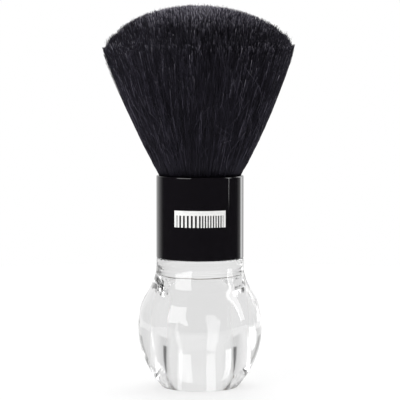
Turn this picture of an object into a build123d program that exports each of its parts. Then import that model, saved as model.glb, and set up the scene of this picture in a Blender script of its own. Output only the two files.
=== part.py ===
"""Neck duster brush: a clear hollow ball grip, a gloss black ferrule and a flared hair knot.

Frame: millimetres, +Z up along the brush's axis, origin at the centre of the flat foot that the brush
stands on. The printed mark faces -Y. Every piece but the binding and the mark is turned about Z.
"""

import os
from math import acos, atan2, cos, degrees, pi, radians, sin, sqrt, tan

from build123d import *

os.makedirs("parts", exist_ok=True)

# ---- Driving dimensions, in mm -------------------------------------------------------------------

# Clear ball grip, moulded in acrylic and cored out from the foot
grip_radius = 25.0  # the ball's upper half is a true sphere of this radius
grip_waist_height = 25.0  # height of the widest place above the foot
grip_lower_arc = 37.0  # the lower half is fuller than a sphere: radius of its flank
grip_foot_edge = 0.7  # rounding between the flank and the flat foot
grip_foot_wall = 1.7  # rim of the foot, from the flank in to the hollow
hollow_draft_angle = 0.4  # degrees; the hollow narrows upwards so that its core pulls out
hollow_ceiling_web = 7.4  # solid acrylic between the hollow's ceiling and the shoulder
hollow_ceiling_round = 0.6
neck_radius = 17.5  # outside of the neck, flush with the ferrule
neck_flare_radius = 20.0  # hollow curve that leads the ball into the neck
neck_length = 2.1  # straight part between the flare and the shoulder that the ferrule stands on
neck_edge_chamfer = 0.35
seat_gap = 0.05  # shoulder to the ferrule's lower end

# Ferrule, a tube with one inner flange
ferrule_length = 33.0
ferrule_wall = 1.2
ferrule_lip_radius = 0.5  # rounding of the wall at the hair's end, inside and outside
ferrule_seat_chamfer = 0.25  # outer edge at the grip's end
flange_thickness = 1.5
flange_width = 4.8  # reach of the flange in from the bore; epoxy runs through it and locks the knot in

# Spigot of the grip, bonded inside the ferrule
spigot_length = 12.0
spigot_glue_line = 0.45  # radial room for adhesive between spigot and ferrule
spigot_lead_chamfer = 1.0
key_groove_depth = 0.7
key_groove_width = 1.4
key_groove_count = 3
glue_clearance = 0.03  # cured adhesive stands this far off the acrylic it has shrunk from
web_clearance = 0.1  # spigot end to flange

# Hair knot, its root bound with thread and set in epoxy
knot_root_gap = 1.7  # root to the ferrule's bore, filled with epoxy and binding
knot_free_length = 68.0  # ferrule lip to the top of the dome
knot_spread_radius = 38.6  # at the corner between flank and dome, before it is rounded
knot_dome_radius = 40.5  # half width of the ellipse that the dome is part of
knot_dome_rise = 24.5  # half height of that ellipse
knot_corner_round = 3.0
knot_lip_clearance = 0.15  # hair to the ferrule's bore, all round
knot_flank_bulge = 1.7  # how far the flank bows out from a straight line
epoxy_below_root = 1.6  # thickness of cured epoxy between the flange and the hair's cut root
epoxy_collar_height = 6.0  # how far the epoxy climbs round the root
binding_cord_radius = 0.55
binding_turn_pitch = 1.0  # under two radii: the turns are pulled tight into one another
binding_turns = 4
binding_clearance = 0.02

# Printed mark: a comb in white ink
mark_ink_thickness = 0.06
mark_angle = 70.0  # degrees of the ferrule that the comb spans
mark_spine_height = 1.9
mark_tooth_height = 4.7
mark_end_tooth_angle = 3.4
mark_coarse_teeth = 6
mark_fine_teeth = 9
mark_tooth_share = 0.52  # ink share of one tooth pitch
mark_height_in_ferrule = 16.6  # centre of the mark above the ferrule's lower end

# ---- Sizes that follow from them -------------------------------------------------------------------

flare_top_height = grip_waist_height + sqrt(
    (grip_radius + neck_flare_radius) ** 2 - (neck_radius + neck_flare_radius) ** 2
)
neck_top_height = flare_top_height + neck_length

hollow_height = neck_top_height - hollow_ceiling_web

ferrule_bottom = neck_top_height + seat_gap
ferrule_top = ferrule_bottom + ferrule_length
ferrule_outer = neck_radius
ferrule_bore = ferrule_outer - ferrule_wall

spigot_radius = ferrule_bore - spigot_glue_line
spigot_top = neck_top_height + spigot_length
flange_bottom = spigot_top + web_clearance
flange_top = flange_bottom + flange_thickness
flange_opening_radius = ferrule_bore - flange_width

knot_root_radius = ferrule_bore - knot_root_gap
root_bottom = flange_top + epoxy_below_root
collar_top = root_bottom + epoxy_collar_height
knot_lip_radius = ferrule_bore - knot_lip_clearance
knot_top = ferrule_top + knot_free_length
dome_start = acos(knot_spread_radius / knot_dome_radius)
corner_height = knot_top - knot_dome_rise * (1 - sin(dome_start))


def arc_through(centre, start, end):
    """The arc about centre from start to end, the short way round, as three points."""
    a0 = atan2(start[1] - centre[1], start[0] - centre[0])
    a1 = atan2(end[1] - centre[1], end[0] - centre[0])
    turn = (a1 - a0 + pi) % (2 * pi) - pi
    radius = sqrt((start[0] - centre[0]) ** 2 + (start[1] - centre[1]) ** 2)
    middle = (centre[0] + radius * cos(a0 + turn / 2), centre[1] + radius * sin(a0 + turn / 2))
    return start, middle, end


# ---- Grip ------------------------------------------------------------------------------------------

waist = (grip_radius, grip_waist_height)
flare_centre = (neck_radius + neck_flare_radius, flare_top_height)
flare_end = (neck_radius, flare_top_height)
ball_share = grip_radius / (grip_radius + neck_flare_radius)
flare_start = (
    flare_centre[0] * ball_share,
    grip_waist_height + (flare_top_height - grip_waist_height) * ball_share,
)
lower_centre = (grip_radius - grip_lower_arc, grip_waist_height)
foot_corner = (lower_centre[0] + sqrt(grip_lower_arc**2 - grip_waist_height**2), 0)
groove_pitch = spigot_length / (key_groove_count + 1)
hollow_mouth = foot_corner[0] - grip_foot_wall
hollow_top = hollow_mouth - hollow_height * tan(radians(hollow_draft_angle))

with BuildPart() as ball_grip:
    with BuildSketch(Plane.XZ):
        with BuildLine():
            Line((0, 0), foot_corner)
            ThreePointArc(*arc_through(lower_centre, foot_corner, waist))
            ThreePointArc(*arc_through((0, grip_waist_height), waist, flare_start))
            ThreePointArc(*arc_through(flare_centre, flare_start, flare_end))
            Polyline(
                flare_end,
                (neck_radius, neck_top_height),
                (spigot_radius, neck_top_height),
                (spigot_radius, spigot_top),
                (0, spigot_top),
                (0, 0),
            )
        make_face()
    revolve(axis=Axis.Z)
    for groove in range(key_groove_count):
        groove_height = neck_top_height + groove_pitch * (groove + 1)
        with BuildSketch(Plane.XZ):
            with Locations((spigot_radius, groove_height)):
                Rectangle(2 * key_groove_depth, key_groove_width)
        revolve(axis=Axis.Z, mode=Mode.SUBTRACT)
    rims = ball_grip.edges().filter_by(GeomType.CIRCLE)
    fillet(rims.group_by(Axis.Z)[0], grip_foot_edge)
    rims = ball_grip.edges().filter_by(GeomType.CIRCLE)
    chamfer(rims.group_by(Axis.Z)[-1], spigot_lead_chamfer)
    rims = ball_grip.edges().filter_by(GeomType.CIRCLE)
    shoulder = rims.filter_by_position(Axis.Z, neck_top_height - 0.01, neck_top_height + 0.01)
    chamfer(shoulder.sort_by(SortBy.RADIUS)[-1], neck_edge_chamfer)
    with BuildSketch(Plane.XZ) as hollow:
        with BuildLine():
            Polyline(
                (0, 0), (hollow_mouth, 0), (hollow_top, hollow_height), (0, hollow_height), close=True
            )
        make_face()
        fillet(hollow.vertices().group_by(Axis.Y)[-1].sort_by(Axis.X)[-1], hollow_ceiling_round)
    revolve(axis=Axis.Z, mode=Mode.SUBTRACT)

# ---- Ferrule ---------------------------------------------------------------------------------------

with BuildPart() as ferrule:
    with BuildSketch(Plane.XY.offset(ferrule_bottom)):
        Circle(ferrule_outer)
        Circle(ferrule_bore, mode=Mode.SUBTRACT)
    extrude(amount=ferrule_length)
    with BuildSketch(Plane.XY.offset(flange_bottom)):
        Circle(ferrule_bore + ferrule_wall / 2)
        Circle(flange_opening_radius, mode=Mode.SUBTRACT)
    extrude(amount=flange_thickness)
    rims = ferrule.edges().filter_by(GeomType.CIRCLE)
    fillet(rims.group_by(Axis.Z)[-1], ferrule_lip_radius)
    rims = ferrule.edges().filter_by(GeomType.CIRCLE)
    chamfer(rims.group_by(Axis.Z)[0].sort_by(SortBy.RADIUS)[-1], ferrule_seat_chamfer)

# ---- Adhesive between spigot and ferrule, with a rib in each key groove ------------------------------

glue_inner = spigot_radius + glue_clearance
glue_outer = ferrule_bore - glue_clearance
glue_bottom = neck_top_height + glue_clearance
glue_top = spigot_top - spigot_lead_chamfer

with BuildPart() as spigot_adhesive:
    with BuildSketch(Plane.XY.offset(glue_bottom)):
        Circle(glue_outer)
        Circle(glue_inner, mode=Mode.SUBTRACT)
    extrude(amount=glue_top - glue_bottom)
    rib_depth = key_groove_depth - glue_clearance
    for groove in range(key_groove_count):
        rib_height = key_groove_width - 2 * glue_clearance
        rib_bottom = neck_top_height + groove_pitch * (groove + 1) - rib_height / 2
        with BuildSketch(Plane.XY.offset(rib_bottom)):
            Circle(glue_outer)
            Circle(spigot_radius - rib_depth, mode=Mode.SUBTRACT)
        extrude(amount=rib_height)

# ---- Epoxy that sets the root of the knot -----------------------------------------------------------

with BuildPart() as root_epoxy:
    with BuildSketch(Plane.XY.offset(flange_bottom)):
        Circle(flange_opening_radius)
    extrude(amount=flange_thickness)
    with BuildSketch(Plane.XY.offset(flange_top)):
        Circle(ferrule_bore)
    extrude(amount=epoxy_below_root)
    with BuildSketch(Plane.XY.offset(root_bottom)):
        Circle(ferrule_bore)
        Circle(knot_root_radius, mode=Mode.SUBTRACT)
    extrude(amount=epoxy_collar_height)

# ---- Hair knot ---------------------------------------------------------------------------------------

first_turn_height = collar_top + binding_clearance + binding_cord_radius
last_turn_height = first_turn_height + binding_turn_pitch * (binding_turns - 1)
binding_top = last_turn_height + binding_cord_radius + binding_clearance
flank_start = (knot_lip_radius, ferrule_top + 2 * ferrule_lip_radius)
flank_end = (knot_spread_radius, corner_height)
flank_run = (flank_end[0] - flank_start[0], flank_end[1] - flank_start[1])
flank_length = sqrt(flank_run[0] ** 2 + flank_run[1] ** 2)
flank_middle = (
    (flank_start[0] + flank_end[0]) / 2 + knot_flank_bulge * flank_run[1] / flank_length,
    (flank_start[1] + flank_end[1]) / 2 - knot_flank_bulge * flank_run[0] / flank_length,
)
dome_centre = (0, knot_top - knot_dome_rise)

with BuildPart() as hair_knot:
    with BuildSketch(Plane.XZ):
        with BuildLine():
            Polyline(
                (0, root_bottom),
                (knot_root_radius, root_bottom),
                (knot_root_radius, binding_top),
                (knot_lip_radius, ferrule_top - 2 * ferrule_lip_radius),
                flank_start,
            )
            ThreePointArc(flank_start, flank_middle, flank_end)
            EllipticalCenterArc(
                dome_centre,
                knot_dome_radius,
                knot_dome_rise,
                start_angle=degrees(dome_start),
                arc_size=90 - degrees(dome_start),
            )
            Line((0, knot_top), (0, root_bottom))
        make_face()
    revolve(axis=Axis.Z)
    corner = hair_knot.edges().filter_by_position(Axis.Z, corner_height - 0.01, corner_height + 0.01)
    fillet(corner, knot_corner_round)

# ---- Thread binding round the root: closed turns, side by side ---------------------------------------

binding_radius = knot_root_radius + binding_clearance + binding_cord_radius

with BuildPart() as root_binding:
    with BuildSketch(Plane.XZ):
        for turn in range(binding_turns):
            with Locations((binding_radius, first_turn_height + binding_turn_pitch * turn)):
                Circle(binding_cord_radius)
    revolve(axis=Axis.Z)

# ---- Printed mark: a comb, wrapped round the front of the ferrule ------------------------------------

mark_height = mark_spine_height + mark_tooth_height
mark_bottom = ferrule_bottom + mark_height_in_ferrule - mark_height / 2
mark_outer = ferrule_outer + mark_ink_thickness
front_angle = 270.0
comb_start = front_angle - mark_angle / 2
field_angle = mark_angle - 2 * mark_end_tooth_angle
coarse_field = field_angle / 2
tooth_angles = [(comb_start, mark_end_tooth_angle)]
for teeth, field_start in ((mark_coarse_teeth, 0), (mark_fine_teeth, coarse_field)):
    pitch = coarse_field / teeth
    first = comb_start + mark_end_tooth_angle + field_start + pitch * (1 - mark_tooth_share) / 2
    tooth_angles += [(first + pitch * tooth, pitch * mark_tooth_share) for tooth in range(teeth)]
tooth_angles.append((comb_start + mark_angle - mark_end_tooth_angle, mark_end_tooth_angle))


layers = [
    (mark_bottom, mark_tooth_height, tooth_angles),
    (mark_bottom + mark_tooth_height, mark_spine_height, [(comb_start, mark_angle)]),
]
with BuildPart() as printed_mark:
    for layer_bottom, layer_height, patches in layers:
        with BuildSketch(Plane.XY.offset(layer_bottom)):
            for patch_start, patch_span in patches:
                with BuildLine():
                    outer = CenterArc((0, 0), mark_outer, patch_start, patch_span)
                    inner = CenterArc((0, 0), ferrule_outer, patch_start, patch_span)
                    Line(inner @ 0, outer @ 0)
                    Line(inner @ 1, outer @ 1)
                make_face()
        extrude(amount=layer_height)

# ---- Write each piece --------------------------------------------------------------------------------

pieces = {
    "ball_grip": ball_grip,
    "ferrule": ferrule,
    "spigot_adhesive": spigot_adhesive,
    "root_epoxy": root_epoxy,
    "hair_knot": hair_knot,
    "root_binding": root_binding,
    "printed_mark": printed_mark,
}
for name, piece in pieces.items():
    piece.part.label = name
    export_step(piece.part, f"parts/{name}.step")
    print(name, "volume", round(piece.part.volume, 1), "valid", piece.part.is_valid)
print("shoulder at", round(neck_top_height, 3), "top of the hair at", round(knot_top, 3))
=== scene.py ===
"""Neck duster brush, standing on its clear ball grip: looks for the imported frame.

Metres, +Z up along the brush, the printed front towards -Y. The hair is worked out in millimetres.
"""

import math

import bpy
import numpy as np
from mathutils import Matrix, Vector


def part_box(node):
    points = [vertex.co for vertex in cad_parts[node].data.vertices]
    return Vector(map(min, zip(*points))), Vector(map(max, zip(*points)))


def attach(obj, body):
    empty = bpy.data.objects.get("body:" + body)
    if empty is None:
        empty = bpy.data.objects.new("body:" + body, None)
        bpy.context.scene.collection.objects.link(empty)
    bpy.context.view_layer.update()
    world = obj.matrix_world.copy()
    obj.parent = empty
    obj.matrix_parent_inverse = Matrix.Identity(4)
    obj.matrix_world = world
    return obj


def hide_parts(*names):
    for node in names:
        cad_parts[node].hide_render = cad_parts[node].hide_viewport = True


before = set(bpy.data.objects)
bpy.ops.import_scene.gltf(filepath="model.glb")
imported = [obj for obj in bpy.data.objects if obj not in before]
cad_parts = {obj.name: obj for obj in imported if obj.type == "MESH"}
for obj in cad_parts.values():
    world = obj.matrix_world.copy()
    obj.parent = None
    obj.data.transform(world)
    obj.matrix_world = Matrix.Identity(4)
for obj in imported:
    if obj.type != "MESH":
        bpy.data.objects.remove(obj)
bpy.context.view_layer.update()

# ---- Camera ----------------------------------------------------------------------------------------
# A long portrait lens three quarters of a metre in front, a hand's breadth above the ferrule, so
# that it looks a few degrees down on the brush.

camera_place = Vector((0.0, -0.75, 0.131))
camera_aim = Vector((0.0, 0.0, 0.075))
camera_lens_mm = 169.0
camera_sensor_mm = 36.0

camera = bpy.data.objects.new("camera", bpy.data.cameras.new("camera"))
bpy.context.scene.collection.objects.link(camera)
camera.location = camera_place
camera.rotation_euler = (camera_aim - camera_place).to_track_quat("-Z", "Y").to_euler()
camera.data.sensor_width = camera_sensor_mm
camera.data.lens = camera_lens_mm
bpy.context.scene.camera = camera
bpy.context.scene.view_settings.view_transform = "Standard"

# Light is thrown back and forth inside the clear grip many times before it leaves.
bounces = bpy.context.scene.cycles
bounces.max_bounces = 24
bounces.glossy_bounces = bounces.transmission_bounces = 16

# ---- Studio: paper floor ---------------------------------------------------------------------------
# A round table top under white paper. It has some light of its own, so that it stays white round
# the foot, and shows only a soft shadow.

MM = 0.001
floor_radius = 0.45
floor_thickness = 4 * MM
floor_gap = 0.02 * MM  # between the paper and the foot
floor_corners = 96
paper_fibre = 1.1 * MM  # clouds of fibre in the paper, coarser than single fibres
floor_shadow_share = 0.35  # how much of the floor's brightness is its own light and shade
table_through_glass = 0.83  # how bright the floor looks through the clear grip


def linear(code):
    """Linear colour of an sRGB hex code: low values over 12.92, the others by the 2.4 power curve."""
    srgb = np.array([int(code[i : i + 2], 16) for i in (1, 3, 5)]) / 255
    low, high = srgb / 12.92, ((srgb + 0.055) / 1.055) ** 2.4
    return (*np.where(srgb <= 0.04045, low, high), 1.0)


def add_node(tree, kind, inputs=None, **settings):
    """Adds a node: settings are its own properties, inputs are socket values or outputs to link."""
    node = tree.nodes.new(kind)
    for name, value in settings.items():
        setattr(node, name, value)
    for name, value in (inputs or {}).items():
        if isinstance(value, bpy.types.NodeSocket):
            tree.links.new(value, node.inputs[name])
        else:
            node.inputs[name].default_value = value
    return node


def new_material(name):
    """An empty node material, and its tree."""
    material = bpy.data.materials.new(name)
    material.use_nodes = True
    material.node_tree.nodes.clear()
    return material, material.node_tree


def new_mesh(name, vertices, faces, smooth=True):
    """An object at the origin from vertex and face arrays. Faces are rows of vertex numbers, -1 padded."""
    faces = np.asarray(faces)
    used = faces >= 0
    mesh = bpy.data.meshes.new(name)
    mesh.vertices.add(len(vertices))
    mesh.vertices.foreach_set("co", np.asarray(vertices, np.float32).ravel())
    corners = faces[used]
    mesh.loops.add(len(corners))
    mesh.loops.foreach_set("vertex_index", corners.astype(np.int32))
    mesh.polygons.add(len(faces))
    starts = np.concatenate([[0], np.cumsum(used.sum(1))[:-1]])
    mesh.polygons.foreach_set("loop_start", starts.astype(np.int32))
    mesh.polygons.foreach_set("use_smooth", np.full(len(faces), smooth))
    mesh.update(calc_edges=True)
    mesh.validate()
    piece = bpy.data.objects.new(name, mesh)
    bpy.context.scene.collection.objects.link(piece)
    return piece


# A disc: a ring of corners round the underside, one round the top, and a wall between them.
turn = np.linspace(0, 2 * np.pi, floor_corners, endpoint=False)
ring = np.stack([np.cos(turn) * floor_radius, np.sin(turn) * floor_radius], 1)
underside = np.c_[ring, np.full(floor_corners, -floor_thickness)]
top = np.c_[ring, np.full(floor_corners, -floor_gap)]
here, after = np.arange(floor_corners), np.roll(np.arange(floor_corners), -1)
floor_faces = np.full((floor_corners + 2, floor_corners), -1)
floor_faces[0] = here[::-1]
floor_faces[1] = here + floor_corners
floor_faces[2:, :4] = np.stack([here, after, after + floor_corners, here + floor_corners], 1)
floor = new_mesh("paper_floor", np.vstack([underside, top]), floor_faces, smooth=False)

floor_paper, tree = new_material("white_table_paper")
sees = add_node(tree, "ShaderNodeLightPath")
grain = add_node(tree, "ShaderNodeTexNoise", {"Scale": 1 / paper_fibre, "Detail": 2.0})
tint = add_node(
    tree,
    "ShaderNodeMix",
    {0: grain.outputs["Fac"], 6: linear("#F2F2F2"), 7: linear("#F7F7F7")},
    data_type="RGBA",
)
lit = add_node(tree, "ShaderNodeBsdfDiffuse", {"Color": tint.outputs[2]})
glow = add_node(
    tree,
    "ShaderNodeMix",
    {0: sees.outputs["Is Transmission Ray"], 2: 1.0, 3: table_through_glass},
    data_type="FLOAT",
)
plain = add_node(tree, "ShaderNodeEmission", {"Color": (1, 1, 1, 1), "Strength": glow.outputs[0]})
own_light = add_node(
    tree,
    "ShaderNodeMath",
    {0: sees.outputs["Is Camera Ray"], 1: 1.0 - floor_shadow_share},
    operation="MULTIPLY",
)
keep = add_node(
    tree,
    "ShaderNodeMath",
    {0: own_light.outputs[0], 1: sees.outputs["Is Transmission Ray"]},
    operation="MAXIMUM",
)
paper = add_node(
    tree, "ShaderNodeMixShader", {0: keep.outputs[0], 1: lit.outputs[0], 2: plain.outputs[0]}
)
add_node(tree, "ShaderNodeOutputMaterial", {"Surface": paper.outputs[0]})
floor.data.materials.append(floor_paper)

# ---- Studio: surroundings --------------------------------------------------------------------------
# A white sweep stands behind the table and the room is light in front of it. Between the two, a
# dark band to either side draws the edges of clear glass. Gloss sees the sweep in a dim room.

# Degrees from straight behind, or above the floor.
sweep_ends = (65.0, 57.0)  # over which the sweep comes in, as seen through glass
front_begins = (78.0, 86.0)  # over which the light front of the room comes in
band_foot = (3.0, 4.0)  # over which the dark band begins, low down
band_head = (28.0, 32.0)  # over which it ends, higher up
sweep_dims = (55.0, 12.0)  # between which the sweep brightens towards its middle
gloss_sweep = (70.0, 25.0)  # over which the sweep comes in, as gloss mirrors it

room_for_matt = 0.62
room_for_gloss = 0.03
sweep_for_gloss = 0.97
band_for_glass = 0.12
sweep_for_glass = 0.88
sweep_side_share = 0.74  # brightness of the sweep's sides against its middle

world = bpy.data.worlds.new("studio")
bpy.context.scene.world = world
world.use_nodes = True
tree = world.node_tree
tree.nodes.clear()


def ends(ratio, angles):
    """Input ends of a Map Range node: the sine or cosine, the ratio, of two angles in degrees."""
    first, last = (ratio(math.radians(angle)) for angle in angles)
    return {"From Min": first, "From Max": last}


sees = add_node(tree, "ShaderNodeLightPath")
toward = add_node(tree, "ShaderNodeTexCoord")
split = add_node(tree, "ShaderNodeSeparateXYZ", {0: toward.outputs["Generated"]})
flat = add_node(
    tree, "ShaderNodeCombineXYZ", {"X": split.outputs["X"], "Y": split.outputs["Y"]}
)
unit = add_node(tree, "ShaderNodeVectorMath", {0: flat.outputs[0]}, operation="NORMALIZE")
behind = add_node(tree, "ShaderNodeSeparateXYZ", {0: unit.outputs[0]})

# Through glass: where neither the sweep nor the front is, and between the band's foot and head.
on_sweep = add_node(
    tree,
    "ShaderNodeMapRange",
    {"Value": behind.outputs["Y"], **ends(math.cos, sweep_ends)},
    interpolation_type="SMOOTHSTEP",
)
in_front = add_node(
    tree,
    "ShaderNodeMapRange",
    {"Value": behind.outputs["Y"], **ends(math.cos, front_begins)},
    interpolation_type="SMOOTHSTEP",
)
lifted = add_node(
    tree,
    "ShaderNodeMapRange",
    {"Value": split.outputs["Z"], **ends(math.sin, band_foot)},
    interpolation_type="SMOOTHSTEP",
)
over = add_node(
    tree,
    "ShaderNodeMapRange",
    {"Value": split.outputs["Z"], **ends(math.sin, band_head)},
    interpolation_type="SMOOTHSTEP",
)
in_band = add_node(
    tree, "ShaderNodeMath", {0: lifted.outputs[0], 1: over.outputs[0]}, operation="SUBTRACT"
)
light_part = add_node(
    tree, "ShaderNodeMath", {0: on_sweep.outputs[0], 1: in_front.outputs[0]}, operation="MAXIMUM"
)
aside = add_node(
    tree, "ShaderNodeMath", {0: 1.0, 1: light_part.outputs[0]}, operation="SUBTRACT"
)
dark_share = add_node(
    tree, "ShaderNodeMath", {0: in_band.outputs[0], 1: aside.outputs[0]}, operation="MULTIPLY"
)
sweep_fall = add_node(
    tree,
    "ShaderNodeMapRange",
    {
        "Value": behind.outputs["Y"],
        **ends(math.cos, sweep_dims),
        "To Min": sweep_for_glass * sweep_side_share,
        "To Max": sweep_for_glass,
    },
)
for_glass = add_node(
    tree,
    "ShaderNodeMix",
    {0: dark_share.outputs[0], 2: sweep_fall.outputs[0], 3: band_for_glass},
    data_type="FLOAT",
)

# In gloss, on matt surfaces, and as the white backdrop itself.
for_gloss = add_node(
    tree,
    "ShaderNodeMapRange",
    {
        "Value": behind.outputs["Y"],
        **ends(math.cos, gloss_sweep),
        "To Min": room_for_gloss,
        "To Max": sweep_for_gloss,
    },
    interpolation_type="SMOOTHSTEP",
)
gloss_or_matt = add_node(
    tree,
    "ShaderNodeMix",
    {0: sees.outputs["Is Glossy Ray"], 2: room_for_matt, 3: for_gloss.outputs[0]},
    data_type="FLOAT",
)
or_glass = add_node(
    tree,
    "ShaderNodeMix",
    {0: sees.outputs["Is Transmission Ray"], 2: gloss_or_matt.outputs[0], 3: for_glass.outputs[0]},
    data_type="FLOAT",
)
or_seen = add_node(
    tree,
    "ShaderNodeMix",
    {0: sees.outputs["Is Camera Ray"], 2: or_glass.outputs[0], 3: 1.0},
    data_type="FLOAT",
)
surround = add_node(
    tree, "ShaderNodeBackground", {"Color": (1, 1, 1, 1), "Strength": or_seen.outputs[0]}
)
add_node(tree, "ShaderNodeOutputWorld", {"Surface": surround.outputs[0]})

# ---- Studio: lamps ---------------------------------------------------------------------------------
# Softboxes front left, to the right, behind to the right, and above at the back. A narrow strip
# light at the right draws one tapering line on the ferrule. Some are kept out of the clear grip.

lamp_distance = 0.80
softboxes = {
    # name: azimuth from the camera's side, elevation, width, height, watts, seen through glass
    "softbox_left": (-44.0, 19.0, 0.54, 0.48, 3.6, True),
    "softbox_right": (88.0, 20.0, 0.30, 0.56, 1.7, True),
    "softbox_above": (180.0, 48.0, 0.70, 0.45, 3.6, False),
    "strip_right": (81.0, 18.0, 0.06, 0.66, 0.45, False),
    "softbox_behind": (140.0, 10.0, 0.22, 0.64, 0.8, False),
}
for name, (azimuth, elevation, width, height, watts, through_glass) in softboxes.items():
    light = bpy.data.lights.new(name, "AREA")
    light.shape = "ELLIPSE" if name.startswith("strip") else "RECTANGLE"
    light.size, light.size_y = width, height
    light.energy = watts
    lamp = bpy.data.objects.new(name, light)
    bpy.context.scene.collection.objects.link(lamp)
    around, above = math.radians(azimuth), math.radians(elevation)
    out = Vector(
        (math.sin(around) * math.cos(above), -math.cos(around) * math.cos(above), math.sin(above))
    )
    lamp.location = camera_aim + out * lamp_distance
    lamp.rotation_euler = out.to_track_quat("Z", "Y").to_euler()
    lamp.visible_transmission = through_glass

# ---- Ball grip -------------------------------------------------------------------------------------
# One piece of clear acrylic, cored from the foot and flame polished: water-clear, with a very
# slight haze from handling and a faint swell of the surface, strongest at the shoulder and neck.

handling_cloud = 11.1 * MM
swell_length = 13.33 * MM
swell_height = 2 * MM  # of the bump, before its strength
swell_rises = (20 * MM, 34 * MM)  # heights between which the swell grows

acrylic, tree = new_material("clear_cast_acrylic")
place = add_node(tree, "ShaderNodeTexCoord")
handling = add_node(
    tree,
    "ShaderNodeTexNoise",
    {
        "Vector": place.outputs["Object"],
        "Scale": 1 / handling_cloud,
        "Detail": 4.0,
        "Roughness": 0.6,
    },
)
haze = add_node(
    tree,
    "ShaderNodeMapRange",
    {"Value": handling.outputs["Fac"], "From Min": 0.45, "From Max": 0.8, "To Min": 0.0, "To Max": 0.035},
)
where = add_node(tree, "ShaderNodeSeparateXYZ", {0: place.outputs["Object"]})
swell = add_node(
    tree,
    "ShaderNodeTexNoise",
    {"Vector": place.outputs["Object"], "Scale": 1 / swell_length, "Detail": 1.0},
)
shoulder = add_node(
    tree,
    "ShaderNodeMapRange",
    {
        "Value": where.outputs["Z"],
        "From Min": swell_rises[0],
        "From Max": swell_rises[1],
        "To Min": 0.06,
        "To Max": 0.75,
    },
)
ripple = add_node(
    tree,
    "ShaderNodeBump",
    {"Height": swell.outputs["Fac"], "Strength": shoulder.outputs[0], "Distance": swell_height},
)
surface = add_node(
    tree,
    "ShaderNodeBsdfPrincipled",
    {
        "Base Color": linear("#FBFBFB"),
        "Roughness": haze.outputs[0],
        "IOR": 1.49,
        "Transmission Weight": 1.0,
        "Normal": ripple.outputs[0],
    },
)
add_node(tree, "ShaderNodeOutputMaterial", {"Surface": surface.outputs[0]})
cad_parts["ball_grip"].material_slots[0].material = acrylic

# ---- Spigot adhesive -------------------------------------------------------------------------------
# A thin film of amber epoxy between spigot and ferrule, with a rib in each groove of the spigot.
# Squeezed thin in places, it is cloudy: brown where it is thick and honey where it is thin.

film_cloud = 3.1 * MM

bond, tree = new_material("amber_bonding_epoxy")
place = add_node(tree, "ShaderNodeTexCoord")
cloud = add_node(
    tree,
    "ShaderNodeTexNoise",
    {"Vector": place.outputs["Object"], "Scale": 1 / film_cloud, "Detail": 3.0},
)
amber = add_node(
    tree,
    "ShaderNodeMix",
    {0: cloud.outputs["Fac"], 6: linear("#4A3A20"), 7: linear("#C9A765")},
    data_type="RGBA",
)
surface = add_node(
    tree, "ShaderNodeBsdfPrincipled", {"Base Color": amber.outputs[2], "Roughness": 0.25, "IOR": 1.55}
)
add_node(tree, "ShaderNodeOutputMaterial", {"Surface": surface.outputs[0]})
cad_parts["spigot_adhesive"].material_slots[0].material = bond

# ---- Ferrule ---------------------------------------------------------------------------------------
# A moulded sleeve in gloss black ABS, polished in its mould: near mirror smooth, with soft rub
# marks that blur what it mirrors a little.

rub_mark = 3.85 * MM

abs_black, tree = new_material("gloss_black_abs")
place = add_node(tree, "ShaderNodeTexCoord")
rub = add_node(
    tree,
    "ShaderNodeTexNoise",
    {"Vector": place.outputs["Object"], "Scale": 1 / rub_mark, "Detail": 5.0, "Roughness": 0.65},
)
wear = add_node(
    tree,
    "ShaderNodeMapRange",
    {"Value": rub.outputs["Fac"], "From Min": 0.4, "From Max": 0.75, "To Min": 0.03, "To Max": 0.08},
)
black = add_node(
    tree,
    "ShaderNodeMix",
    {0: rub.outputs["Fac"], 6: linear("#0C0A0D"), 7: linear("#121014")},
    data_type="RGBA",
)
surface = add_node(
    tree,
    "ShaderNodeBsdfPrincipled",
    {"Base Color": black.outputs[2], "Roughness": wear.outputs[0], "IOR": 1.54},
)
add_node(tree, "ShaderNodeOutputMaterial", {"Surface": surface.outputs[0]})
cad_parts["ferrule"].material_slots[0].material = abs_black

# ---- Printed mark ----------------------------------------------------------------------------------
# A comb, coarse teeth to the left and fine to the right, pad printed on the ferrule in matt white
# ink, which lies a little thin and mottled.

ink_mottle = 0.71 * MM

ink, tree = new_material("white_pad_print_ink")
place = add_node(tree, "ShaderNodeTexCoord")
mottle = add_node(
    tree,
    "ShaderNodeTexNoise",
    {"Vector": place.outputs["Object"], "Scale": 1 / ink_mottle, "Detail": 3.0},
)
white = add_node(
    tree,
    "ShaderNodeMix",
    {0: mottle.outputs["Fac"], 6: linear("#CFCFCE"), 7: linear("#F4F4F2")},
    data_type="RGBA",
)
surface = add_node(
    tree, "ShaderNodeBsdfPrincipled", {"Base Color": white.outputs[2], "Roughness": 0.5, "IOR": 1.5}
)
add_node(tree, "ShaderNodeOutputMaterial", {"Surface": surface.outputs[0]})
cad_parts["printed_mark"].material_slots[0].material = ink

# ---- Root epoxy ------------------------------------------------------------------------------------
# The knot's root is set in poured epoxy, hidden inside the ferrule: honey brown, glossy, with
# swirls left from stirring.

stirring_swirl = 6.7 * MM

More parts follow.
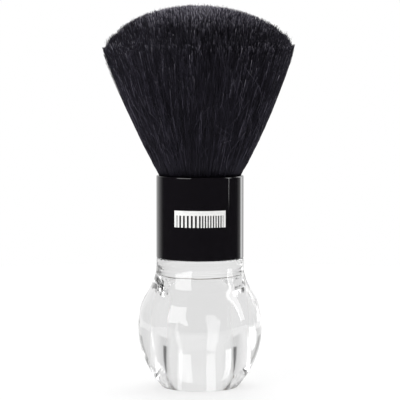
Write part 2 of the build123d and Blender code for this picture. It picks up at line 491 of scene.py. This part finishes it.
pour, tree = new_material("honey_casting_epoxy")
place = add_node(tree, "ShaderNodeTexCoord")
swirl = add_node(
    tree,
    "ShaderNodeTexNoise",
    {
        "Vector": place.outputs["Object"],
        "Scale": 1 / stirring_swirl,
        "Detail": 4.0,
        "Distortion": 1.5,
    },
)
honey = add_node(
    tree,
    "ShaderNodeMix",
    {0: swirl.outputs["Fac"], 6: linear("#6B4316"), 7: linear("#B98A3C")},
    data_type="RGBA",
)
surface = add_node(
    tree, "ShaderNodeBsdfPrincipled", {"Base Color": honey.outputs[2], "Roughness": 0.2, "IOR": 1.55}
)
add_node(tree, "ShaderNodeOutputMaterial", {"Surface": surface.outputs[0]})
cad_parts["root_epoxy"].material_slots[0].material = pour

# ---- Root binding ----------------------------------------------------------------------------------
# Waxed cotton thread, wound tight round the root above the epoxy: off-white and dull, its plies
# lying at a slant, with painted shade in the grooves between them.

ply_pitch = 0.9 * MM  # across the slant, wider than real plies of 0.3 mm
wave_per_unit = 10 * math.sqrt(3)  # radians that a diagonal wave of scale 1 turns through in 1 m

thread, tree = new_material("waxed_cotton_thread")
place = add_node(tree, "ShaderNodeTexCoord")
plies = add_node(
    tree,
    "ShaderNodeTexWave",
    {
        "Vector": place.outputs["Object"],
        "Scale": 2 * math.pi / (wave_per_unit * ply_pitch),
        "Distortion": 2.0,
        "Detail": 2.0,
    },
    bands_direction="DIAGONAL",
)
# Painted shade: darker where the waves sink the bump, in the grooves between the plies.
cotton_with_groove_shade = add_node(
    tree,
    "ShaderNodeMix",
    {0: plies.outputs["Fac"], 6: linear("#8E8775"), 7: linear("#D6CFBC")},
    data_type="RGBA",
)
lay = add_node(
    tree, "ShaderNodeBump", {"Height": plies.outputs["Fac"], "Strength": 0.4, "Distance": 0.1 * MM}
)
surface = add_node(
    tree,
    "ShaderNodeBsdfPrincipled",
    {"Base Color": cotton_with_groove_shade.outputs[2], "Roughness": 0.6, "Normal": lay.outputs[0]},
)
add_node(tree, "ShaderNodeOutputMaterial", {"Surface": surface.outputs[0]})
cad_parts["root_binding"].material_slots[0].material = thread

# ---- Hair: its outline and its dark heart ----------------------------------------------------------
# Dyed goat hair, tied at the root and cut to a dome. The hair inside is so close set that only
# shade is seen between the outer strands: a dark body a little inside the outline stands for it.

# In mm.
ferrule_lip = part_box("ferrule")[1].z / MM
knot_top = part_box("hair_knot")[1].z / MM
crown_top = knot_top - 0.3  # the even height of the tips, over which a few stand proud
lip_radius = 16.2  # the knot where it leaves the ferrule
rim_radius = 37.8  # where flank and crown meet
flank_bow = 1.3  # how far the flank bows out from a straight flare
crown_radius, crown_rise = 40.0, 24.5  # half axes of the ellipse that the crown is part of
rim_droop, droop_start = 1.8, 31.5  # how far the rim's tips lie under it, and where that starts
corner_height = crown_top - crown_rise * (1 - math.sqrt(1 - (rim_radius / crown_radius) ** 2))


def flank_at(height):
    """Radius of the knot's flank at a height in mm: a straight flare plus a parabolic bow."""
    share = np.clip((height - ferrule_lip) / (corner_height - ferrule_lip), -0.1, 1.3)
    bow = 4 * flank_bow * share * (1 - share)
    return lip_radius + (rim_radius - lip_radius) * share + np.where(share > 0, bow, 0)


def crown_at(radius):
    """Height of the cut tips over a distance from the axis: the upper arc of an ellipse, less a
    droop that grows evenly from the droop's start to the rim."""
    arc = np.sqrt(np.maximum(1 - (radius / crown_radius) ** 2, 0))
    outer = np.clip((radius - droop_start) / (rim_radius - droop_start), 0, 1)
    return crown_top - crown_rise * (1 - arc) - rim_droop * outer


def turned(name, profile, segments):
    """A closed body turned about Z from a profile of (radius, height) in mm that runs bottom to top
    and starts and ends on the axis: rings of points between two poles."""
    profile = np.asarray(profile)
    rings = profile[1:-1]
    angle = np.linspace(0, 2 * np.pi, segments, endpoint=False)
    body = np.stack(
        [
            rings[:, :1] * np.cos(angle),
            rings[:, :1] * np.sin(angle),
            np.broadcast_to(rings[:, 1:], (len(rings), segments)),
        ],
        2,
    ).reshape(-1, 3)
    poles = np.stack([[0, 0, profile[0, 1]], [0, 0, profile[-1, 1]]])
    here, after = np.arange(segments), np.roll(np.arange(segments), -1)
    step = (np.arange(len(rings) - 1) * segments)[:, None]
    walls = np.stack(
        [step + here, step + after, step + after + segments, step + here + segments], 2
    ).reshape(-1, 4)
    last = step[-1] + segments
    low_pole, none = np.full(segments, len(body)), np.full(segments, -1)
    low = np.stack([after, here, low_pole, none], 1)
    high = np.stack([last + here, last + after, low_pole + 1, none], 1)
    return new_mesh(name, np.vstack([body, poles]) * MM, np.vstack([walls, low, high]))


heart_inset = 2.4  # inside the flank
heart_drop = 5.0  # below the cut tips
heart_foot = ferrule_lip - 4.0
heart_corner = corner_height - 4.0
heart_tapers = 12.0  # height over the lip by which it has its full inset
least_inset = 0.15  # share of the full inset, at the lip
heart_segments, flank_rings, dome_rings = 96, 24, 16
heights = np.linspace(heart_foot, heart_corner, flank_rings)
inset = heart_inset * np.clip((heights - ferrule_lip) / heart_tapers, least_inset, 1)
flank_radii = flank_at(heights) - inset
dome_radii = np.linspace(flank_radii[-1] - 0.8, 1.0, dome_rings)
heart = turned(
    "hair_heart",
    [
        (0, heights[0]),
        *zip(flank_radii, heights),
        *zip(dome_radii, crown_at(dome_radii) - heart_drop),
        (0, crown_top - heart_drop),
    ],
    heart_segments,
)

shade_cloud = 1.4 * MM

shade, tree = new_material("hair_in_shade")
place = add_node(tree, "ShaderNodeTexCoord")
depth = add_node(
    tree,
    "ShaderNodeTexNoise",
    {"Vector": place.outputs["Object"], "Scale": 1 / shade_cloud, "Detail": 4.0},
)
dark = add_node(
    tree,
    "ShaderNodeMix",
    {0: depth.outputs["Fac"], 6: linear("#060608"), 7: linear("#121116")},
    data_type="RGBA",
)
surface = add_node(
    tree, "ShaderNodeBsdfPrincipled", {"Base Color": dark.outputs[2], "Roughness": 0.9, "IOR": 1.3}
)
add_node(tree, "ShaderNodeOutputMaterial", {"Surface": surface.outputs[0]})
heart.data.materials.append(shade)
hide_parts("hair_knot")
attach(heart, "root")

# ---- Hair: long strands ----------------------------------------------------------------------------
# Dyed goat hair from the root to the rim, in tufts that lean together: nearly black, violet in its
# sheen, and paler towards the tips. Each strand is its own closed thread, thick enough to stand for
# a few real hairs of 0.07 mm.

bore_inside = 15.9  # mm, the strands' limit inside the ferrule, a little under its bore
lip_clear = 0.3  # mm above the lip that the limit holds for
patch_span = 0.02  # width of a strand, and height of its end caps, on its map
most_tone = 0.98
pale_from, pale_to = 0.78, 1.0  # shares of a strand's length between which it pales


def strands(name, lines, thickness, tones):
    """Closed three-sided threads. lines is (strand, point, xyz) in mm, thickness the radius at each
    point. Each point gets a triangle of corners, square to the line, and each end is closed. The
    map OFBake holds the strand's tone across and the share of its length upwards."""
    count, points = lines.shape[:2]
    along = np.gradient(lines, axis=1)
    along /= np.linalg.norm(along, axis=2, keepdims=True)
    side = np.cross(along, lines * (1, 1, 0) + (1e-6, 0, 0))
    side /= np.linalg.norm(side, axis=2, keepdims=True)
    over = np.cross(side, along)
    angle = 2 * np.pi * np.arange(3) / 3 + np.pi / 2
    spread = np.cos(angle)[:, None] * side[:, :, None] + np.sin(angle)[:, None] * over[:, :, None]
    corners = lines[:, :, None] + thickness[:, :, None, None] * spread

    first = (np.arange(count) * points * 3)[:, None, None]
    ring = (np.arange(points - 1) * 3)[None, :, None]
    here, after = np.arange(3), np.roll(np.arange(3), -1)
    walls = np.stack(
        [first + ring + after, first + ring + here, first + ring + here + 3, first + ring + after + 3],
        3,
    ).reshape(-1, 4)
    first, last = first[:, 0], first[:, 0] + (points - 1) * 3
    none = np.full((count, 1), -1)
    low = np.hstack([first, first + 1, first + 2, none])
    high = np.hstack([last, last + 2, last + 1, none])
    piece = new_mesh(name, corners.reshape(-1, 3) * MM, np.vstack([walls, low, high]))

    wide, tall = patch_span / 3, 1 / (points - 1)
    left = tones[:, None, None] + wide * np.arange(3)
    bottom = tall * np.arange(points - 1)[:, None]
    left, bottom = np.broadcast_arrays(left, bottom)
    wall_map = np.stack(
        [left + wide, bottom, left, bottom, left, bottom + tall, left + wide, bottom + tall], 3
    )
    cap = np.array([[0, 0], [3 * wide, 0], [1.5 * wide, patch_span]])
    low_map = np.stack([tones, np.zeros(count)], 1)[:, None] + cap
    high_map = np.stack([tones, np.full(count, 1 - patch_span)], 1)[:, None] + cap
    layer = piece.data.uv_layers.new(name="OFBake")
    values = np.concatenate([wall_map.ravel(), low_map.ravel(), high_map.ravel()])
    layer.data.foreach_set("uv", values.astype(np.float32))
    return piece


hair, tree = new_material("dyed_goat_hair")
uv = add_node(tree, "ShaderNodeUVMap", uv_map="OFBake")
parts = add_node(tree, "ShaderNodeSeparateXYZ", {0: uv.outputs[0]})
low = add_node(tree, "ShaderNodeValToRGB", {0: parts.outputs["X"]})
high = add_node(tree, "ShaderNodeValToRGB", {0: parts.outputs["X"]})
for ramp, stops in (
    (low, ((0.0, "#08080A"), (0.35, "#151419"), (0.7, "#2E2C36"), (1.0, "#66636F"))),
    (high, ((0.0, "#0A0A0D"), (0.35, "#1E1D23"), (0.7, "#55535D"), (1.0, "#A5A2AC"))),
):
    ramp.color_ramp.elements.remove(ramp.color_ramp.elements[1])
    ramp.color_ramp.elements[0].position = 0.0
    ramp.color_ramp.elements[0].color = linear(stops[0][1])
    for position, code in stops[1:]:
        ramp.color_ramp.elements.new(position).color = linear(code)
up = add_node(
    tree,
    "ShaderNodeMapRange",
    {"Value": parts.outputs["Y"], "From Min": pale_from, "From Max": pale_to},
    interpolation_type="SMOOTHSTEP",
)
colour = add_node(
    tree,
    "ShaderNodeMix",
    {0: up.outputs[0], 6: low.outputs[0], 7: high.outputs[0]},
    data_type="RGBA",
)
surface = add_node(
    tree,
    "ShaderNodeBsdfPrincipled",
    {
        "Base Color": colour.outputs[2],
        "Roughness": 0.45,
        "IOR": 1.55,
        "Specular IOR Level": 0.24,
        "Specular Tint": linear("#D6CFEC"),
    },
)
add_node(tree, "ShaderNodeOutputMaterial", {"Surface": surface.outputs[0]})


def fit_hair(piece):
    """Colours a piece of hair and seats it in the brush."""
    piece.data.materials.append(hair)
    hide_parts("hair_knot")
    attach(piece, "root")


def tip_heights(fullness):
    """Where strands end that lie at a share of the flank's radius: the height is put into the
    crown's outline again and again until the two agree."""
    height = np.full_like(fullness, corner_height)
    for _ in range(8):
        height = crown_at(fullness * flank_at(height))
    return height


def in_bore(out, height):
    """Radii, kept inside the ferrule's bore up to just over its lip."""
    return np.where(height < ferrule_lip + lip_clear, np.minimum(out, bore_inside), out)


full_side = 0.014  # share by which the rim is fuller on the left, and leaner on the right
crown_lean, lean_reach = 0.022, 30.0  # slope of the lean at the axis, and mm out where it is nil again


def seat(angle, out, height):
    """Points in mm from an angle, a radius and a height. The knot isn't quite even: towards the
    rim it grows fuller on its left, and the crown leans left by a cubic in x."""
    rise = np.clip((height - ferrule_lip) / (corner_height - ferrule_lip), 0, 1)
    out = out * (1 - full_side * np.cos(angle) * rise**3)
    x, y = out * np.cos(angle), out * np.sin(angle)
    return np.stack([x, y, height + crown_lean * x * ((x / lean_reach) ** 2 - 1) * rise], 2)


# Beta draws make most hairs dark and a few pale. Gamma draws cut most a little short, a few much more.
rng = np.random.default_rng(7)
tufts = 250
tuft_lean = rng.normal(0, 0.02, tufts)  # radians
tuft_out = rng.normal(0, 0.45, tufts)  # mm
tuft_tone = rng.normal(0, 0.05, tufts)
tuft_pull = 0.35  # share of its way to the middle of its tuft that a tip goes
long_lean, long_sway = 0.025, 0.012  # radians
long_out = 0.2  # mm
long_tip, long_tip_spread = 0.5, 0.6  # mm over the crown, and how much it varies
long_radius = 0.095  # mm
long_depth = 0.13  # share of the flank's radius that they fill, inwards
root_depth = 1.5  # mm that they reach down into the ferrule
edge_fullness = 0.94  # outside this the ends are uneven, so that the rim is soft

for batch in range(4):
    count, points = 2600, 7
    angle = rng.uniform(0, 2 * np.pi, count)
    fullness = 1 - long_depth * rng.uniform(0, 1, count) ** 1.6
    tuft = np.floor(angle / (2 * np.pi) * tufts + rng.normal(0, 0.6, count)).astype(int) % tufts
    share = np.linspace(0, 1, points)[None]
    pull = tuft_pull * np.angle(np.exp(1j * ((tuft + 0.5) / tufts * 2 * np.pi - angle)))
    lean = tuft_lean[tuft] + pull + rng.normal(0, long_lean, count)
    sway = rng.normal(0, long_sway, (count, 1)) * np.sin(
        share * rng.uniform(2, 8, (count, 1)) + rng.uniform(0, 6.28, (count, 1))
    )
    around = angle[:, None] + lean[:, None] * share**1.4 + sway * share
    uneven = rng.gamma(1.6, 2.4, count) * (fullness > edge_fullness)
    tip = tip_heights(fullness) + rng.normal(long_tip, long_tip_spread, count) - uneven
    root = ferrule_lip - root_depth
    height = root + (tip[:, None] - root) * share
    out = fullness[:, None] * flank_at(height)
    out += (tuft_out[tuft][:, None] + rng.normal(0, long_out, (count, 1))) * share**1.3
    lines = seat(around, in_bore(out, height), height)
    thickness = long_radius * (1 - 0.45 * share**3) * rng.uniform(0.6, 1.35, (count, 1))
    tones = np.clip(0.86 * rng.beta(1.5, 3.3, count) + tuft_tone[tuft], 0, most_tone)
    fit_hair(strands(f"flank_hair_{batch}", lines, thickness, tones))

# ---- Hair: strands on the flank --------------------------------------------------------------------
# Hairs that show for part of their length, where they come out over the others and dive in again.
# Light and dark come in patches, as neighbouring hairs catch the light alike.

patches, patch_rows, patch_height = 200, 16, 5.0
patch_tone = rng.normal(0, 0.13, (patches, patch_rows))
lying_radius = 0.072  # mm
shown_length = (6, 26)  # mm
cut_length = (3, 9)  # mm, for those that the rim cuts short
crossing_share = 0.07  # of the hairs lie across the others
crossing_lean, lying_lean = 0.10, 0.032  # radians
lying_bend = 0.35  # share of its lean that a hair is bent by
surface_depth = (-0.9, 0.5)  # mm from the flank
dive = 0.7  # mm that the ends go in
rim_over = 0.6  # mm over the corner of the outline that the highest of them end

for batch in range(5):
    count, points = 6700, 5
    angle = rng.uniform(0, 2 * np.pi, count)
    begin = ferrule_lip - 1 + (corner_height + 1 - ferrule_lip) * rng.uniform(0, 1, count) ** 0.75
    length = rng.uniform(*shown_length, count)
    share = np.linspace(0, 1, points)[None]
    limit = corner_height + rim_over - rng.gamma(1.6, 3.0, count)
    end = np.minimum(begin + length, limit)
    begin = np.minimum(begin, end - rng.uniform(*cut_length, count))
    height = begin[:, None] + (end - begin)[:, None] * share
    crosses = rng.uniform(0, 1, count) < crossing_share
    wide = np.where(crosses, crossing_lean, lying_lean)[:, None]
    lean = rng.normal(0, 1, (count, 1)) * wide
    bend = rng.normal(0, lying_bend, (count, 1)) * wide
    around = angle[:, None] + lean * (share - 0.5) + bend * np.sin(np.pi * share)
    over_flank = rng.uniform(*surface_depth, (count, 1))
    at_rim = (end > limit - 0.01)[:, None]
    sunk = np.where(at_rim, (1 - share) ** 2, (2 * share - 1) ** 2)
    out = flank_at(height) + over_flank - dive * sunk
    lines = seat(around, in_bore(out, height), height)
    thickness = lying_radius * (1 - 0.7 * sunk) * rng.uniform(0.7, 1.4, (count, 1))
    column = (angle / (2 * np.pi) * patches).astype(int) % patches
    row = ((begin - ferrule_lip + 2) / patch_height).astype(int) % patch_rows
    tones = np.clip(rng.beta(1.2, 2.5, count) + patch_tone[column, row], 0, most_tone)
    fit_hair(strands(f"lying_hair_{batch}", lines, thickness, tones))

# ---- Hair: cut tips of the dome --------------------------------------------------------------------
# The tips, trimmed, in small clumps that stand a little higher or lower and paler or darker. Towards
# the middle they are paler: a painted highlight for the light the crown catches at a grazing angle.
# Only their last few millimetres show, so they are modelled short.

clump = 0.6  # mm across
clumps = 150  # across the knot, with room to spare
clump_rise = rng.normal(0, 0.16, (clumps, clumps))  # mm
clump_tone = rng.normal(0, 0.10, (clumps, clumps))
tip_radius = 0.09  # mm
tip_drop, tip_spread = 0.35, 0.32  # mm under the crown, and how much it varies
tip_length = (7.5, 11)  # mm
tip_stray = 0.5  # mm sideways
rim_share, rim_from = 0.3, 0.9  # extra hairs for the outer ring, which the flare thins out
ragged_from = 0.96  # fullness from which the tips end unevenly
crown_highlight, crown_highlight_reach = 0.47, 0.8  # how much paler the middle is, and how far out that goes

for batch in range(4):
    count, points = 7300, 4
    angle = rng.uniform(0, 2 * np.pi, count)
    fullness = np.sqrt(rng.uniform(0, 1, count))
    in_rim = rng.uniform(0, 1, count) < rim_share
    fullness = np.where(in_rim, rng.uniform(rim_from, 1, count), fullness)
    share = np.linspace(0, 1, points)[None]
    tip = tip_heights(fullness)
    reach = fullness * rim_radius / clump
    column = (reach * np.cos(angle) + clumps / 2).astype(int)
    row = (reach * np.sin(angle) + clumps / 2).astype(int)
    tip = tip + clump_rise[column, row] + rng.normal(-tip_drop, tip_spread, count)
    tip = tip - rng.gamma(1.6, 1.4, count) * (fullness > ragged_from)
    length = rng.uniform(*tip_length, (count, 1))
    height = tip[:, None] - length * (1 - share)
    out = fullness[:, None] * flank_at(height)
    side_x, side_y = rng.normal(0, tip_stray, (2, count, 1)) * share**1.5
    lines = seat(np.repeat(angle[:, None], points, axis=1), out, height)
    lines[:, :, 0] += side_x
    lines[:, :, 1] += side_y
    thickness = tip_radius * (1 - 0.3 * share**2) * rng.uniform(0.6, 1.3, (count, 1))
    # Painted highlight: the tips are paler towards the middle of the crown, for the light it catches
    # there.
    crown_highlight_tone = crown_highlight * np.clip(1 - (fullness / crown_highlight_reach) ** 2, 0, 1)
    tones = np.clip(rng.beta(0.9, 2.2, count) + crown_highlight_tone + clump_tone[column, row], 0, most_tone)
    fit_hair(strands(f"dome_hair_{batch}", lines, thickness, tones))

# ---- Hair: loose strands ---------------------------------------------------------------------------
# A few hairs that have worked loose and lie across the others, paler because they stand clear of
# the flank and catch the light.

loose_radius = 0.055  # mm
loose_lean, loose_curl = 0.22, 0.07  # radians
loose_gap, loose_lift = 0.25, 0.6  # mm over the flank at the root end, and more at the tip
loose_begins, loose_length = (0, 34), (5, 22)  # mm over the ferrule's lip, and mm

count, points = 150, 10
angle = rng.uniform(0, 2 * np.pi, count)
share = np.linspace(0, 1, points)[None]
begin = ferrule_lip + rng.uniform(*loose_begins, (count, 1))
tip = np.minimum(begin + rng.uniform(*loose_length, (count, 1)), corner_height - 1)
height = begin + (tip - begin) * share
lean = rng.normal(0, loose_lean, (count, 1))
curl = rng.normal(0, loose_curl, (count, 1)) * np.sin(share * rng.uniform(2, 5, (count, 1)))
around = angle[:, None] + lean * share + curl
out = flank_at(height) + loose_gap + rng.uniform(0, loose_lift, (count, 1)) * share
lines = seat(around, out, height)
thickness = loose_radius * (1 - 0.5 * share**2) * rng.uniform(0.8, 1.3, (count, 1))
fit_hair(strands("stray_hair", lines, thickness, rng.uniform(0.6, 0.95, count)))
